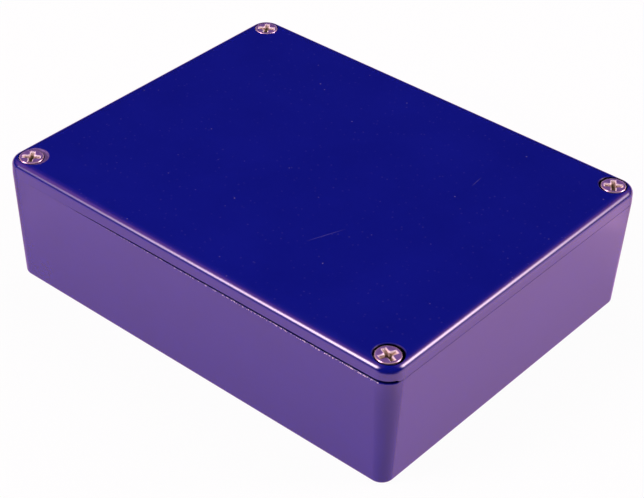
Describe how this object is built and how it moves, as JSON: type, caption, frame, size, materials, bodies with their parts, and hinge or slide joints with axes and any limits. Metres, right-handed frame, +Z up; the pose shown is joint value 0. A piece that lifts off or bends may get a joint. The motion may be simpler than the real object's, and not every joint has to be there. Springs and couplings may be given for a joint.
{
  "type": "die cast aluminium box",
  "caption": "Shallow die-cast aluminium box, painted gloss blue, with leaning walls and rounded corners, closed by a flat lid that countersunk screws hold to posts inside its corners.",
  "frame": {"origin": "middle of the underside of the base, on which the box stands", "axes": "+X along the long side, +Y along the short side towards the rear, +Z up from the base to the lid"},
  "size_m": [0.1194, 0.094, 0.034],
  "materials": {
    "blue_paint": "gloss",
    "plated_steel": "satin"
  },
  "bodies": {
    "box": {"box_body": "blue_paint"},
    "lid": {"lid": "blue_paint"},
    "screw_front_left": {"lid_screw_front_left": "plated_steel"},
    "screw_front_right": {"lid_screw_front_right": "plated_steel"},
    "screw_rear_left": {"lid_screw_rear_left": "plated_steel"},
    "screw_rear_right": {"lid_screw_rear_right": "plated_steel"}
  },
  "joints": [
    {"name": "lid_lift", "type": "slide", "parent": "box", "child": "lid", "axis": [0, 0, 1], "range_m": [0, 0.06]},
    {"name": "unscrew_front_left", "type": "slide", "parent": "lid", "child": "screw_front_left", "axis": [0, 0, 1], "range_m": [0, 0.016]},
    {"name": "unscrew_front_right", "type": "slide", "parent": "lid", "child": "screw_front_right", "axis": [0, 0, 1], "range_m": [0, 0.016]},
    {"name": "unscrew_rear_left", "type": "slide", "parent": "lid", "child": "screw_rear_left", "axis": [0, 0, 1], "range_m": [0, 0.016]},
    {"name": "unscrew_rear_right", "type": "slide", "parent": "lid", "child": "screw_rear_right", "axis": [0, 0, 1], "range_m": [0, 0.016]}
  ]
}
